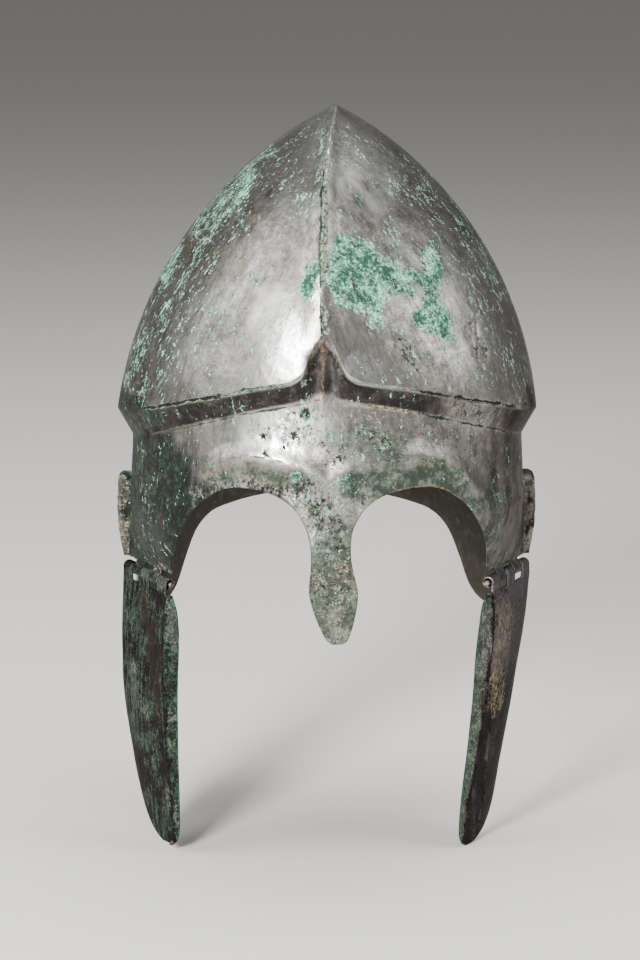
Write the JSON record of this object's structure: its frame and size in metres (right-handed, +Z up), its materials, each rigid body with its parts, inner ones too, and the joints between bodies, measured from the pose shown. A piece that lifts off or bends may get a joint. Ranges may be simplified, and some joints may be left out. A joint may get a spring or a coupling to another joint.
{
  "type": "chalcidian helmet",
  "caption": "Ancient bronze helmet with a keeled crown, gabled forehead edge, nasal, ear notches, neck guard and hinged crescent cheekpieces.",
  "frame": {"origin": "the inside top of the crown, where the helmet sits on a head", "axes": "+Z up, the face looks along -Y, +X is the wearer's left"},
  "size_m": [0.2106, 0.2445, 0.3676],
  "materials": {
    "polished_bronze": "hammered and brushed to a silvery grey-brown, with pits and crusts of green corrosion",
    "dark_bronze": "dark grey-brown patina with a green lip",
    "patinated_bronze": "green and dark red-brown streaked patina",
    "copper_wire": "dull copper-pink wire"
  },
  "bodies": {
    "helmet": {"skull": "polished_bronze", "hinge_pin_left": "copper_wire", "hinge_pin_right": "copper_wire"},
    "left_cheek": {"cheekpiece_left": "dark_bronze"},
    "right_cheek": {"cheekpiece_right": "patinated_bronze"}
  },
  "joints": [
    {"name": "left_cheek_hinge", "type": "hinge", "parent": "helmet", "child": "left_cheek", "pos_m": [0.089, -0.0195, -0.23076], "axis": [-0.4392, -0.8984, 0], "range_deg": [-20, 90]},
    {"name": "right_cheek_hinge", "type": "hinge", "parent": "helmet", "child": "right_cheek", "pos_m": [-0.089, -0.0195, -0.23076], "axis": [-0.4392, 0.8984, 0], "range_deg": [-20, 90]}
  ]
}
